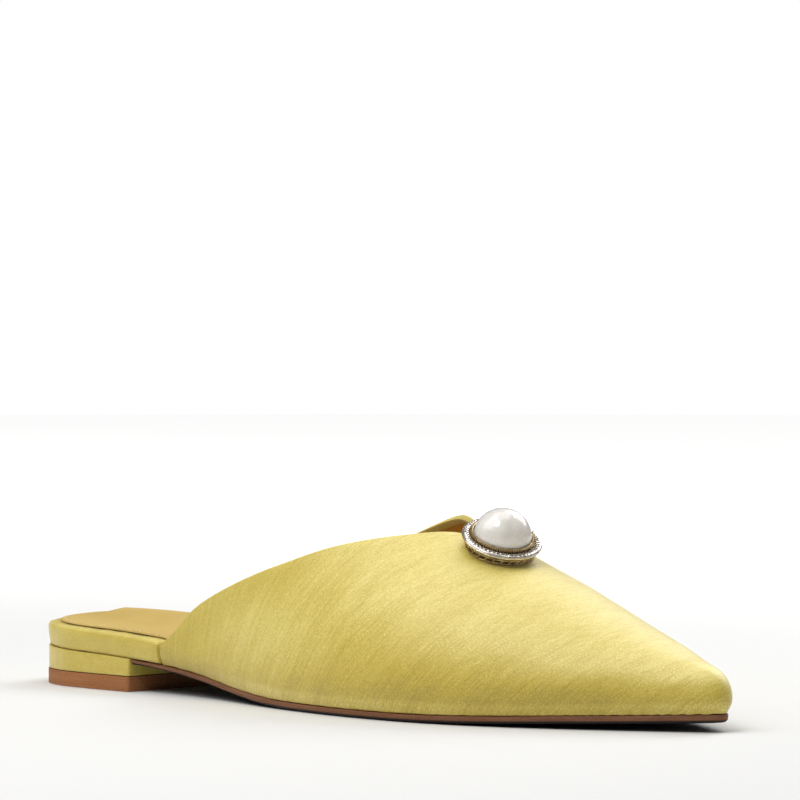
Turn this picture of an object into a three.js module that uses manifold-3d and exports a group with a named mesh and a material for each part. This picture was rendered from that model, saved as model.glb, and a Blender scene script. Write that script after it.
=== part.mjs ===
// A right babouche slipper: a pointed flat mule with a satin upper cut to a V at the throat,
// a satin-wrapped insole board, a low covered heel and a pearl brooch on the vamp.
// Millimetres, +Z up, the toe towards +X, the inner (medial) side of the foot towards +Y.
import * as THREE from "three";
import { mergeVertices } from "three/addons/utils/BufferGeometryUtils.js";
import Module from "manifold-3d";

const wasm = await Module();
wasm.setup();

// Overall sizes of the last
const LENGTH = 270; // heel back to toe tip
const BALL_WIDTH = 80; // widest place of the outline
const THROAT_HEIGHT = 50; // floor to the crest at the point of the V
const SEAT_HEIGHT = 12; // floor to the underside of the insole board, at the heel's back
const SIDE_HEIGHT = 10; // lower part of the side wall, which stands nearly upright

// Thicknesses and clearances
const WALL = 1.8; // satin, interlining and lining of the upper
const GAP = 0.3; // between pieces that meet along a curve
const BOARD_PLAY = 0.65; // between the insole board's edge and the wall, which leans in
const SOCK_PLAY = 0.9;
const OUTSOLE_FORE = 2.4;
const OUTSOLE_WAIST = 1.5;
const WAIST_END = 0.48; // share of LENGTH from where the outsole has its full thickness
const BOARD_HEEL = 7.4;
const BOARD_FORE = 3;
const SOCK = 0.7;
const SOCK_DOME = 2.75; // padding at the middle of the heel seat
const SOCK_LIP = 0.3; // flat margin of the padding, as a share of the way to the spine
const PAD_FADES_FROM = 0.3; // the padding fades out between these two shares of LENGTH
const PAD_FADES_TO = 0.6;
const TOP_LIFT = 4.5;

// Lower edge of the upper and the sole under it
const TUCK = 1.5; // how far the wall turns in from its widest line to the sole
const SOLE_INSET = 1.1; // upper edge of the outsole, in from the outline
const SOLE_ROUND = 0.9; // rounding of its lower edge

// Heel
const BREAST_X = 54; // front face of the heel block
const HEEL_INSET = 0.7; // sides of the heel block, in from the outline
const LIFT_INSET = 0.5;
const CORNER_RADIUS = 1.2; // the two front corners

// Insole board and sock
const RIM_INSET = 0.2; // the rim stands back from the outline by this much
const RIM_ROUND = 1.3; // rounding of its upper edge
const RIM_LEAN = 0.9; // its lower edge stands in by this much
const BOARD_SHORT = 6; // the board and the sock end this far short of the toe tip
const BOARD_THINS_FROM = 66; // the board thins between these two places
const BOARD_THINS_TO = 125;
const SOCK_INSET = 4.2; // satin that shows round the sock at the heel
const WING_X = 68.6; // rear end of the wings
const THROAT_X = 0.66; // point of the V, as a share of LENGTH
const JOGGLE = 1.2; // length of the step where the board passes inside the wings

// Brooch: heights are measured along its axis, from the vamp
const PEARL_RADIUS = 8.6;
const PEARL_CENTRE = 4.5;
const PEARL_BACK = 2.2; // flat back of the pearl
const CUP_RISE = 1.1; // the cup's edge stands this far above the pearl's middle
const CUP_WALL = 0.6;
const CUP_CORNER = 0.4;
const HALO_RADIUS = 11.9;
const HALO_INNER = 9.9;
const HALO_THICK = 1.2;
const HALO_CORNER = 0.35;
const GALLERY_HEIGHT = 3;
const GALLERY_SKIRT = 2; // posts reach this far below the axis foot before they are fitted
const GALLERY_FOOT = 9.9;
const GALLERY_HEAD = 10.8;
const GALLERY_BAR = 0.6;
const GALLERY_POSTS = 18;
const BROOCH_AHEAD = 5.3; // its middle lies this far in front of the point of the V
const BROOCH_Y = 0.9;
const BROOCH_TILT_FORWARD = 24.9;
const BROOCH_TILT_OUT = 9.9;

// Outline seen from above: x as a share of LENGTH, the two edges as shares of BALL_WIDTH.
const OUTLINE = [
  { x: 0.0, lateral: 0.0, medial: 0.0 },
  { x: 0.02, lateral: 0.226, medial: 0.224 },
  { x: 0.05, lateral: 0.316, medial: 0.312 },
  { x: 0.1, lateral: 0.362, medial: 0.352 },
  { x: 0.17, lateral: 0.365, medial: 0.35 },
  { x: 0.25, lateral: 0.363, medial: 0.337 },
  { x: 0.32, lateral: 0.372, medial: 0.332 },
  { x: 0.38, lateral: 0.404, medial: 0.345 },
  { x: 0.45, lateral: 0.452, medial: 0.378 },
  { x: 0.52, lateral: 0.49, medial: 0.424 },
  { x: 0.59, lateral: 0.51, medial: 0.466 },
  { x: 0.65, lateral: 0.508, medial: 0.486 },
  { x: 0.71, lateral: 0.48, medial: 0.482 },
  { x: 0.77, lateral: 0.422, medial: 0.45 },
  { x: 0.83, lateral: 0.334, medial: 0.39 },
  { x: 0.89, lateral: 0.226, medial: 0.306 },
  { x: 0.94, lateral: 0.126, medial: 0.216 },
  { x: 0.975, lateral: 0.051, medial: 0.143 },
  { x: 0.992, lateral: 0.01, medial: 0.105 },
  { x: 1.0, lateral: -0.045, medial: 0.045 },
];

// Heights along the shoe. tread: underside of the outsole, as a share of SEAT_HEIGHT.
// crest: highest line of the last, as a share of THROAT_HEIGHT. spine: its offset to the
// medial side, as a share of BALL_WIDTH. bulge: height of the widest line over the outsole,
// as a share of SIDE_HEIGHT.
const PROFILE = [
  { x: 0.0, tread: 0.87, crest: 1.56, spine: 0.0, bulge: 0.55 },
  { x: 0.1, tread: 0.785, crest: 1.55, spine: 0.0, bulge: 0.55 },
  { x: 0.17, tread: 0.735, crest: 1.54, spine: 0.0, bulge: 0.55 },
  { x: 0.25, tread: 0.615, crest: 1.52, spine: 0.005, bulge: 0.55 },
  { x: 0.31, tread: 0.46, crest: 1.48, spine: 0.01, bulge: 0.55 },
  { x: 0.37, tread: 0.24, crest: 1.43, spine: 0.018, bulge: 0.55 },
  { x: 0.43, tread: 0.07, crest: 1.385, spine: 0.026, bulge: 0.55 },
  { x: 0.49, tread: 0.0, crest: 1.33, spine: 0.034, bulge: 0.55 },
  { x: 0.56, tread: 0.0, crest: 1.235, spine: 0.042, bulge: 0.55 },
  { x: 0.61, tread: 0.0, crest: 1.12, spine: 0.048, bulge: 0.55 },
  { x: 0.66, tread: 0.0, crest: 1.0, spine: 0.05, bulge: 0.55 },
  { x: 0.7, tread: 0.01, crest: 0.912, spine: 0.05, bulge: 0.55 },
  { x: 0.76, tread: 0.045, crest: 0.797, spine: 0.05, bulge: 0.53 },
  { x: 0.83, tread: 0.1, crest: 0.643, spine: 0.048, bulge: 0.5 },
  { x: 0.9, tread: 0.155, crest: 0.503, spine: 0.046, bulge: 0.46 },
  { x: 0.96, tread: 0.2, crest: 0.385, spine: 0.045, bulge: 0.43 },
  { x: 1.0, tread: 0.23, crest: 0.33, spine: 0.045, bulge: 0.42 },
];

// Topline: how far up the section the wall reaches, from its widest line, 0, to the crest, 1.
const TOPLINE = [
  { x: 0.254, lateral: 0.006, medial: 0.006 },
  { x: 0.268, lateral: 0.03, medial: 0.036 },
  { x: 0.286, lateral: 0.077, medial: 0.095 },
  { x: 0.306, lateral: 0.138, medial: 0.165 },
  { x: 0.347, lateral: 0.219, medial: 0.26 },
  { x: 0.409, lateral: 0.319, medial: 0.378 },
  { x: 0.467, lateral: 0.404, medial: 0.485 },
  { x: 0.522, lateral: 0.503, medial: 0.607 },
  { x: 0.566, lateral: 0.597, medial: 0.733 },
  { x: 0.605, lateral: 0.738, medial: 0.864 },
  { x: 0.633, lateral: 0.92, medial: 0.95 },
  { x: 0.66, lateral: 1.0, medial: 1.0 },
];

// Fans at the two ends, where the sections turn round the heel and the toe
const HEEL_FAN = 50;
const HEEL_CENTRE = 22;
const TOE_FAN = LENGTH - 58;
const TOE_CENTRE = LENGTH - 15;

// Smooth curve through a table's column that never overshoots its rows.
function along(table, column, at, key = "x") {
  const last = table.length - 1;
  const span = (i) => table[i + 1][key] - table[i][key];
  const rise = (i) => (table[i + 1][column] - table[i][column]) / span(i);
  const slope = (i) => {
    if (i === 0) return rise(0);
    if (i === last) return rise(last - 1);
    const before = rise(i - 1);
    const after = rise(i);
    if (before * after <= 0) return 0;
    const a = 2 * span(i) + span(i - 1);
    const b = span(i) + 2 * span(i - 1);
    return (a + b) / (a / before + b / after);
  };
  let row = 0;
  while (row < last - 1 && at > table[row + 1][key]) row += 1;
  const t = THREE.MathUtils.clamp((at - table[row][key]) / span(row), 0, 1);
  const width = span(row);
  const fromValue = table[row][column];
  const toValue = table[row + 1][column];
  const near = fromValue * (1 + 2 * t) * (1 - t) ** 2 + slope(row) * width * t * (1 - t) ** 2;
  const far = toValue * t * t * (3 - 2 * t) - slope(row + 1) * width * t * t * (1 - t);
  return near + far;
}

// The turn runs from 0 at the heel's back to PI at the toe tip, so both ends close round.
const turnAt = (x) => Math.acos(1 - (2 * x) / LENGTH);
const xAt = (turn) => (LENGTH * (1 - Math.cos(turn))) / 2;
const TURNED_OUTLINE = OUTLINE.map((row) => ({ ...row, turn: turnAt(row.x * LENGTH) }));
const profile = (column, x) => along(PROFILE, column, x / LENGTH);

const tread = (x) => SEAT_HEIGHT * profile("tread", x);
const outsoleTop = (x) => {
  const waist = THREE.MathUtils.smoothstep(x, BREAST_X, WAIST_END * LENGTH);
  return tread(x) + THREE.MathUtils.lerp(OUTSOLE_WAIST, OUTSOLE_FORE, waist);
};
const feather = (x) => outsoleTop(x) + GAP;
const crest = (x) => THROAT_HEIGHT * profile("crest", x);
const widest = (x) => feather(x) + SIDE_HEIGHT * profile("bulge", x);
const spineY = (x) => BALL_WIDTH * profile("spine", x);

// Where on the spine a section from the outline at x ends.
function spineX(x) {
  const fan = (reach, depth) => {
    const share = 1 - depth / reach;
    return (u) => reach * (u - share * u * u);
  };
  if (x > TOE_FAN) {
    const reach = LENGTH - TOE_FAN;
    return TOE_FAN + fan(reach, TOE_CENTRE - TOE_FAN)((x - TOE_FAN) / reach);
  }
  if (x < HEEL_FAN) {
    return HEEL_FAN - fan(HEEL_FAN, HEEL_FAN - HEEL_CENTRE)((HEEL_FAN - x) / HEEL_FAN);
  }
  return x;
}

// A point of the outline, moved inwards by inset. side is -1 for lateral and +1 for medial.
function edgePoint(turn, side, inset) {
  const column = side < 0 ? "lateral" : "medial";
  const y = (at) => side * BALL_WIDTH * along(TURNED_OUTLINE, column, at, "turn");
  const step = 0.004;
  const from = Math.max(0, turn - step);
  const to = Math.min(Math.PI, turn + step);
  const tangent = new THREE.Vector2(xAt(to) - xAt(from), y(to) - y(from));
  if (turn < step || turn > Math.PI - step) tangent.x = 0;
  tangent.normalize();
  return new THREE.Vector2(
    xAt(turn) + side * tangent.y * inset,
    y(turn) - side * tangent.x * inset,
  );
}

// Turns between two places, evenly spaced, with the given x values among them.
function turnsBetween(fromX, toX, count, marks = []) {
  const from = turnAt(fromX);
  const to = turnAt(toX);
  const even = Array.from({ length: count + 1 }, (_, i) => from + ((to - from) * i) / count);
  const marked = marks.map(turnAt);
  const clear = (turn) => marked.every((mark) => Math.abs(mark - turn) > (to - from) / count / 2);
  const kept = even.filter((turn, i) => i === 0 || i === count || clear(turn));
  return [...kept, ...marked].sort((a, b) => a - b);
}

// Solid from a triangle list whose points are shared or not.
function solidFrom(points, triangles) {
  const geometry = new THREE.BufferGeometry();
  const flat = points.flatMap((p) => [p.x, p.y, p.z]);
  geometry.setAttribute("position", new THREE.Float32BufferAttribute(flat, 3));
  geometry.setIndex(triangles.flat());
  return solidOf(geometry);
}

function solidOf(geometry) {
  const bare = geometry.clone();
  bare.deleteAttribute("normal");
  bare.deleteAttribute("uv");
  const merged = mergeVertices(bare, 1e-4);
  const index = Array.from(merged.index.array);
  const kept = [];
  for (let i = 0; i < index.length; i += 3) {
    const [a, b, c] = index.slice(i, i + 3);
    if (a !== b && b !== c && c !== a) kept.push(a, b, c);
  }
  return new wasm.Manifold(
    new wasm.Mesh({
      numProp: 3,
      vertProperties: new Float32Array(merged.attributes.position.array),
      triVerts: new Uint32Array(kept),
    }),
  );
}

function geometryOf(solid) {
  const mesh = solid.getMesh();
  const positions = new Float32Array(mesh.numVert * 3);
  for (let i = 0; i < mesh.numVert; i += 1) {
    const start = i * mesh.numProp;
    positions.set(mesh.vertProperties.subarray(start, start + 3), i * 3);
  }
  const geometry = new THREE.BufferGeometry();
  geometry.setAttribute("position", new THREE.BufferAttribute(positions, 3));
  geometry.setIndex(new THREE.BufferAttribute(mesh.triVerts, 1));
  geometry.computeVertexNormals();
  return geometry;
}

// Closed solid from rings of equal length: side walls between them, and each end ring closed
// onto the matching points of a seam.
function solidFromRings(rings) {
  const count = rings[0].length;
  const points = rings.flat();
  const triangles = [];
  for (let r = 0; r + 1 < rings.length; r += 1) {
    for (let i = 0; i < count; i += 1) {
      const a = r * count + i;
      const b = r * count + ((i + 1) % count);
      triangles.push([a, b, b + count], [a, b + count, a + count]);
    }
  }
  return solidFrom(points, triangles);
}

// Ring round the outline: the lateral side to the front, then the medial side back. The two
// sides share their point at the heel's back, and at the toe tip if the turns reach it.
function outlineRing(turns, place) {
  const reachesTip = turns[turns.length - 1] > Math.PI - 1e-6;
  const lateral = turns.map((turn) => place(turn, -1));
  const returning = turns.slice(1, reachesTip ? -1 : undefined).reverse();
  return [...lateral, ...returning.map((turn) => place(turn, 1))];
}

// Plate that follows the outline. Each row has an inset from the outline, a share of the way
// from there to the spine, and a height. The first and last rows lie on the spine.
function plate(turns, rows) {
  return solidFromRings(
    rows.map((row) =>
      outlineRing(turns, (turn, side) => {
        const edge = edgePoint(turn, side, row.share === 1 ? 0 : row.inset(xAt(turn)));
        const x = THREE.MathUtils.lerp(edge.x, spineX(xAt(turn)), row.share);
        const y = THREE.MathUtils.lerp(edge.y, spineY(spineX(xAt(turn))), row.share);
        return new THREE.Vector3(x, y, row.height(x));
      }),
    ),
  );
}

// Upper's wall. v runs over the rows from the feather line, 0, to the topline or the crest.
const SIDE_ROWS = 3;
const ARCH_ROWS = 12;
const ROWS = SIDE_ROWS + ARCH_ROWS;
const toplineShare = (x, side) =>
  along(TOPLINE, side < 0 ? "lateral" : "medial", Math.min(x / LENGTH, THROAT_X));

function tuckAt(x, height) {
  const below = Math.max(0, 1 - height / (SIDE_HEIGHT * profile("bulge", x)));
  return TUCK * below * below;
}

function wallPoint(turn, side, row, closed) {
  const x = xAt(turn);
  if (row <= SIDE_ROWS) {
    const height = (widest(x) - feather(x)) * (row / SIDE_ROWS);
    const edge = edgePoint(turn, side, tuckAt(x, height));
    return new THREE.Vector3(edge.x, edge.y, feather(x) + height);
  }
  const reach = closed ? 1 : toplineShare(x, side);
  const share = (reach * (row - SIDE_ROWS)) / ARCH_ROWS;
  const angle = (share * Math.PI) / 2;
  const edge = edgePoint(turn, side, 0);
  const top = spineX(x);
  const out = Math.cos(angle);
  const fall = (crest(top) - crest(top - 1)) * (edge.x - top) * out * (1 - out) ** 2;
  return new THREE.Vector3(
    THREE.MathUtils.lerp(top, edge.x, out),
    THREE.MathUtils.lerp(spineY(top), edge.y, out),
    THREE.MathUtils.lerp(widest(x), crest(top), Math.sin(angle)) + fall,
  );
}

// Open surface of the wall between the given turns, wings and vamp together. A closed one
// runs over the throat too.
function wallSurface(turns, closed = false) {
  const points = [];
  const triangles = [];
  for (const side of [-1, 1]) {
    const base = points.length;
    for (const turn of turns) {
      for (let row = 0; row <= ROWS; row += 1) {
        points.push(wallPoint(turn, side, row, closed));
      }
    }
    for (let i = 0; i + 1 < turns.length; i += 1) {
      for (let row = 0; row < ROWS; row += 1) {
        const a = base + i * (ROWS + 1) + row;
        const b = a + ROWS + 1;
        if (side < 0) triangles.push([a, b, b + 1], [a, b + 1, a + 1]);
        else triangles.push([a, b + 1, b], [a, a + 1, b + 1]);
      }
    }
  }
  const geometry = new THREE.BufferGeometry();
  const flat = points.flatMap((p) => [p.x, p.y, p.z]);
  geometry.setAttribute("position", new THREE.Float32BufferAttribute(flat, 3));
  geometry.setIndex(triangles.flat());
  const merged = mergeVertices(geometry, 1e-4);
  const index = Array.from(merged.index.array);
  const kept = [];
  for (let i = 0; i < index.length; i += 3) {
    const [a, b, c] = index.slice(i, i + 3);
    if (a !== b && b !== c && c !== a) kept.push(a, b, c);
  }
  merged.setIndex(kept);
  merged.computeVertexNormals();
  return merged;
}

// Solid wall round an open surface, from outward of it to inward of it.
function wallSolid(surface, outward, inward) {
  const position = surface.attributes.position;
  const normal = surface.attributes.normal;
  const count = position.count;
  const moved = (distance) =>
    Array.from({ length: count }, (_, i) => {
      const p = new THREE.Vector3().fromBufferAttribute(position, i);
      const n = new THREE.Vector3().fromBufferAttribute(normal, i);
      const onFeather = Math.abs(p.z - feather(p.x)) < 0.02;
      if (onFeather) n.setZ(0).normalize();
      p.addScaledVector(n, distance);
      if (onFeather) p.z = feather(p.x);
      return p;
    });
  const index = surface.index.array;
  const triangles = [];
  const open = new Map();
  for (let i = 0; i < index.length; i += 3) {
    const corners = [index[i], index[i + 1], index[i + 2]];
    triangles.push(corners, corners.map((c) => c + count).reverse());
    corners.forEach((from, k) => {
      const to = corners[(k + 1) % 3];
      if (!open.delete(`${to} ${from}`)) open.set(`${from} ${to}`, [from, to]);
    });
  }
  for (const [from, to] of open.values()) {
    triangles.push([to, from, from + count], [to, from + count, to + count]);
  }
  return solidFrom([...moved(outward), ...moved(-inward)], triangles);
}

const wingTurns = turnsBetween(WING_X, THROAT_X * LENGTH, 22);
const vampTurns = turnsBetween(THROAT_X * LENGTH, LENGTH, 21).slice(1);
const upper = wallSolid(wallSurface([...wingTurns, ...vampTurns]), 0, WALL);

// Sole, heel, board and sock
const everyTurn = turnsBetween(0, LENGTH, 40, [WING_X - GAP - JOGGLE, WING_X - GAP]);
const seam = (height) => ({ share: 1, height });
const ring = (inset, height, share = 0) => ({
  share,
  inset: typeof inset === "number" ? () => inset : inset,
  height,
});

const soleLength = LENGTH - BREAST_X - GAP;
const frontOfBreast = new THREE.BoxGeometry(soleLength, 2 * BALL_WIDTH, 2 * THROAT_HEIGHT);
frontOfBreast.translate(LENGTH - soleLength / 2, 0, 0);

const outsole = plate(everyTurn, [
  seam(tread),
  ring(SOLE_INSET + SOLE_ROUND, tread),
  ring(SOLE_INSET + 0.25 * SOLE_ROUND, (x) => tread(x) + 0.7 * SOLE_ROUND),
  ring(SOLE_INSET, outsoleTop),
  seam(outsoleTop),
]).intersect(solidOf(frontOfBreast));

// Heel seen from above, with its straight breast and rounded corners, from the floor up.
function heelSolid(inset, height) {
  const turns = turnsBetween(0, BREAST_X - CORNER_RADIUS, 14);
  const shape = new THREE.Shape();
  shape.moveTo(inset, 0);
  const lateral = turns.slice(1).map((turn) => edgePoint(turn, -1, inset));
  const medial = turns.slice(1).map((turn) => edgePoint(turn, 1, inset)).reverse();
  lateral.forEach((p) => shape.lineTo(p.x, p.y));
  const outer = lateral[lateral.length - 1];
  const inner = medial[0];
  shape.quadraticCurveTo(BREAST_X, outer.y, BREAST_X, outer.y + CORNER_RADIUS);
  shape.lineTo(BREAST_X, inner.y - CORNER_RADIUS);
  shape.quadraticCurveTo(BREAST_X, inner.y, inner.x, inner.y);
  medial.slice(1).forEach((p) => shape.lineTo(p.x, p.y));
  shape.closePath();
  const options = { depth: height, bevelEnabled: false, curveSegments: 5 };
  return solidOf(new THREE.ExtrudeGeometry(shape, options));
}

const topLift = heelSolid(LIFT_INSET, TOP_LIFT);
const underSeat = plate(everyTurn, [
  seam(() => TOP_LIFT + GAP),
  ring(0, () => TOP_LIFT + GAP),
  ring(0, outsoleTop),
  seam(outsoleTop),
]);
const heelBlock = heelSolid(HEEL_INSET, 2 * SEAT_HEIGHT).intersect(underSeat);

const inWings = (x) => THREE.MathUtils.smoothstep(x, WING_X - GAP - JOGGLE, WING_X - GAP);
const boardThick = (x) => {
  const share = THREE.MathUtils.smoothstep(x, BOARD_THINS_FROM, BOARD_THINS_TO);
  return THREE.MathUtils.lerp(BOARD_HEEL, BOARD_FORE, share);
};
const boardTop = (x) => feather(x) + boardThick(x);

// Inset of the board at a share of its thickness: free at the heel, inside the wall elsewhere.
function boardInset(part, rimInset) {
  return (x) => {
    const inside = WALL + BOARD_PLAY + tuckAt(x, boardThick(x) * part);
    return THREE.MathUtils.lerp(RIM_INSET + rimInset, inside + 0.3 * rimInset, inWings(x));
  };
}

const boardTurns = turnsBetween(0, LENGTH - BOARD_SHORT, 40, [WING_X - GAP - JOGGLE, WING_X - GAP]);
const board = plate(boardTurns, [
  seam(feather),
  ring(boardInset(0, RIM_LEAN), feather),
  ring(boardInset(0.3, 0.45 * RIM_LEAN), (x) => feather(x) + 0.3 * boardThick(x)),
  ring(boardInset(0.72, 0), (x) => feather(x) + 0.72 * boardThick(x)),
  ring(boardInset(0.92, 0.25 * RIM_ROUND), (x) => feather(x) + 0.92 * boardThick(x)),
  ring(boardInset(1, RIM_ROUND), boardTop),
  seam(boardTop),
]);

const sockInset = (extra) => (x) => {
  const inside = WALL + SOCK_PLAY + tuckAt(x, boardThick(x));
  return extra + THREE.MathUtils.lerp(SOCK_INSET, inside, inWings(x));
};
const sockUnder = (x) => boardTop(x) + GAP;
const sockTop = (share) => (x) => {
  const fade = THREE.MathUtils.smoothstep(x / LENGTH, PAD_FADES_FROM, PAD_FADES_TO);
  const crown = SOCK_DOME * (1 - fade) * THREE.MathUtils.smoothstep(share, SOCK_LIP, 1);
  return sockUnder(x) + SOCK + crown;
};
const sock = plate(boardTurns, [
  seam(sockUnder),
  ring(sockInset(0), sockUnder),
  ring(sockInset(0.5 * SOCK), sockTop(0)),
  ring(sockInset(0), sockTop(SOCK_LIP), SOCK_LIP),
  ring(sockInset(0), sockTop(0.55), 0.55),
  ring(sockInset(0), sockTop(0.8), 0.8),
  { share: 1, height: sockTop(1) },
]);

// Brooch
const lathe = (profilePoints, segments) => {
  const points = profilePoints.map(([r, z]) => new THREE.Vector2(r, z));
  points.push(points[0].clone());
  return new THREE.LatheGeometry(points, segments).rotateX(Math.PI / 2);
};

const broochX = THROAT_X * LENGTH + BROOCH_AHEAD;
const broochFrame = new THREE.Matrix4()
  .makeTranslation(broochX, BROOCH_Y, wallPoint(turnAt(broochX), 1, ROWS).z)
  .multiply(new THREE.Matrix4().makeRotationY(THREE.MathUtils.degToRad(BROOCH_TILT_FORWARD)))
  .multiply(new THREE.Matrix4().makeRotationX(THREE.MathUtils.degToRad(BROOCH_TILT_OUT)));
const onVamp = (geometry) => solidOf(geometry.applyMatrix4(broochFrame));

const pearlProfile = [[0, PEARL_BACK]];
const backAngle = Math.asin((PEARL_BACK - PEARL_CENTRE) / PEARL_RADIUS);
const PEARL_STEPS = 10;
for (let i = 0; i <= PEARL_STEPS; i += 1) {
  const angle = THREE.MathUtils.lerp(backAngle, Math.PI / 2, i / PEARL_STEPS);
  const radius = i === PEARL_STEPS ? 0 : PEARL_RADIUS * Math.cos(angle);
  pearlProfile.push([radius, PEARL_CENTRE + PEARL_RADIUS * Math.sin(angle)]);
}
const pearl = onVamp(lathe(pearlProfile, 28));

const cupInner = PEARL_RADIUS + GAP;
const cupOuter = HALO_INNER - GAP;
const cup = onVamp(
  lathe(
    [
      [0, PEARL_BACK - GAP - CUP_WALL],
      [0.8 * cupInner, PEARL_BACK - GAP - CUP_WALL],
      [cupOuter - CUP_CORNER, PEARL_BACK],
      [cupOuter, PEARL_CENTRE + CUP_RISE],
      [cupInner, PEARL_CENTRE + CUP_RISE],
      [cupInner, PEARL_BACK + CUP_CORNER - GAP],
      [cupInner - CUP_CORNER, PEARL_BACK - GAP],
      [0, PEARL_BACK - GAP],
    ],
    26,
  ),
);

const haloFoot = GALLERY_HEIGHT + GAP;
const halo = onVamp(
  lathe(
    [
      [HALO_INNER, haloFoot],
      [HALO_RADIUS - HALO_CORNER, haloFoot],
      [HALO_RADIUS, haloFoot + HALO_CORNER],
      [HALO_RADIUS, haloFoot + 0.75 * HALO_THICK],
      [HALO_RADIUS - HALO_CORNER, haloFoot + HALO_THICK],
      [HALO_INNER + HALO_CORNER, haloFoot + HALO_THICK],
      [HALO_INNER, haloFoot + 0.75 * HALO_THICK],
    ],
    34,
  ),
);

// Ring of square section whose middle line has the given radius and height.
const barRing = (radius, height) => {
  const half = GALLERY_BAR / 2;
  return lathe(
    [
      [radius - half, height - half],
      [radius + half, height - half],
      [radius + half, height + half],
      [radius - half, height + half],
    ],
    GALLERY_POSTS,
  );
};

const galleryTop = GALLERY_HEIGHT - GALLERY_BAR / 2;
const galleryFoot = GALLERY_BAR / 2 + GAP;
const slope = (GALLERY_HEAD - GALLERY_FOOT) / (galleryTop - galleryFoot);
const postMiddle = (galleryTop - GALLERY_SKIRT) / 2;
const post = new THREE.BoxGeometry(GALLERY_BAR, GALLERY_BAR, galleryTop + GALLERY_SKIRT);
const corners = post.attributes.position;
for (let i = 0; i < corners.count; i += 1) {
  const height = corners.getZ(i) + postMiddle;
  const radius = GALLERY_FOOT + slope * (height - galleryFoot);
  corners.setXYZ(i, corners.getX(i) + radius, corners.getY(i), height);
}
const posts = Array.from({ length: GALLERY_POSTS }, (_, i) =>
  onVamp(post.clone().rotateZ((2 * Math.PI * i) / GALLERY_POSTS)),
);
const nearBrooch = turnsBetween(broochX - 2 * HALO_RADIUS, broochX + 2 * HALO_RADIUS, 9);
const clearance = wallSolid(wallSurface(nearBrooch, true), GAP, 4);
const gallery = wasm.Manifold.union([
  onVamp(barRing(GALLERY_FOOT, galleryFoot)),
  onVamp(barRing(GALLERY_HEAD, galleryTop)),
  ...posts,
]).subtract(clearance);

// Colour, roughness and metalness of each finish
const FINISH = {
  satin: { color: 0xd9c871, roughness: 0.5, metalness: 0 },
  leather: { color: 0xdec27e, roughness: 0.6, metalness: 0 },
  rubber: { color: 0x8a5a36, roughness: 0.7, metalness: 0 },
  silver: { color: 0xc9c9cc, roughness: 0.2, metalness: 1 },
  gold: { color: 0xc79a4a, roughness: 0.3, metalness: 1 },
  pearl: { color: 0xf3efe6, roughness: 0.2, metalness: 0 },
};

const group = new THREE.Group();
function add(name, solid, finish) {
  const mesh = new THREE.Mesh(geometryOf(solid), new THREE.MeshStandardMaterial(FINISH[finish]));
  mesh.name = name;
  group.add(mesh);
}

add("outsole", outsole, "rubber");
add("heel_block", heelBlock, "satin");
add("top_lift", topLift, "rubber");
add("insole_board", board, "satin");
add("sock_lining", sock, "leather");
add("upper", upper, "satin");
add("brooch_gallery", gallery, "gold");
add("brooch_halo", halo, "silver");
add("brooch_cup", cup, "gold");
add("brooch_pearl", pearl, "pearl");

// Origin: middle of the bounding box seen from above, on the floor.
const bounds = new THREE.Box3().setFromObject(group);
const middle = bounds.getCenter(new THREE.Vector3());
for (const mesh of group.children) {
  mesh.geometry.translate(-middle.x, -middle.y, -bounds.min.z);
}

export default group;
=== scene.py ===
"""Looks of a right babouche slipper: slub satin upper, wrapped insole rim, tan sock, thin brown
sole, covered heel and a pearl brooch. Metres, +X to the toe, +Y to the inner side, +Z up."""

import math

import bmesh
import bpy
import numpy as np
from mathutils import Matrix, Vector
from mathutils.bvhtree import BVHTree
from mathutils.kdtree import KDTree


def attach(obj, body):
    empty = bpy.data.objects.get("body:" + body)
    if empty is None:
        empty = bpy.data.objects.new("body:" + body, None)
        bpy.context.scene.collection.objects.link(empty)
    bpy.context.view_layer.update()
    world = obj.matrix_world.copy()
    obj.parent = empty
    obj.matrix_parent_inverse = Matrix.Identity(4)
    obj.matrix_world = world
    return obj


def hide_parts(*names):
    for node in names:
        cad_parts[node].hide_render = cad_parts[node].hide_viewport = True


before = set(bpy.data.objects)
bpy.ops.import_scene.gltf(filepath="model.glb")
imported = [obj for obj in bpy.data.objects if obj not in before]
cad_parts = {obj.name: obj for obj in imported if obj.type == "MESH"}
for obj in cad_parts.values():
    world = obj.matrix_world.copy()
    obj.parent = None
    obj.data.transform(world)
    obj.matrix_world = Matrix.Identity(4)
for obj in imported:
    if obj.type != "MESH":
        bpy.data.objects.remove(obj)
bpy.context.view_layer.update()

MM = 0.001
HEEL_X = -135.1  # heel back of the last, in millimetres from the middle of the shoe

# Places along the shoe, in millimetres from the heel's back
WING_X = 68.6
THROAT_X = 178.2

# The round end of the heel seat
HEEL_CENTRE = -0.108  # along the shoe, in metres from its middle
HEEL_RADIUS = 27
HEEL_QUARTER = 15  # millimetres by which a quarter of its arc is longer than its radius

SEAM_LAP = 0.22  # millimetres by which the upper's edge and the heel's top edge close their seams


def from_heel(x):
    return x / MM - HEEL_X


def round_the_heel(co):
    """Millimetres along the rim of the seat, round the heel's arc and then along its sides."""
    x = from_heel(co[:, 0])
    around = np.arctan2(co[:, 1], co[:, 0] - HEEL_CENTRE) * HEEL_RADIUS
    return np.where(x < HEEL_RADIUS, around, np.sign(co[:, 1]) * (x + HEEL_QUARTER))


# Working on one object at a time


def only(piece):
    bpy.ops.object.select_all(action="DESELECT")
    piece.select_set(True)
    bpy.context.view_layer.objects.active = piece


def new_piece(name, mesh):
    piece = bpy.data.objects.new(name, mesh)
    bpy.context.scene.collection.objects.link(piece)
    return piece


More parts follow.
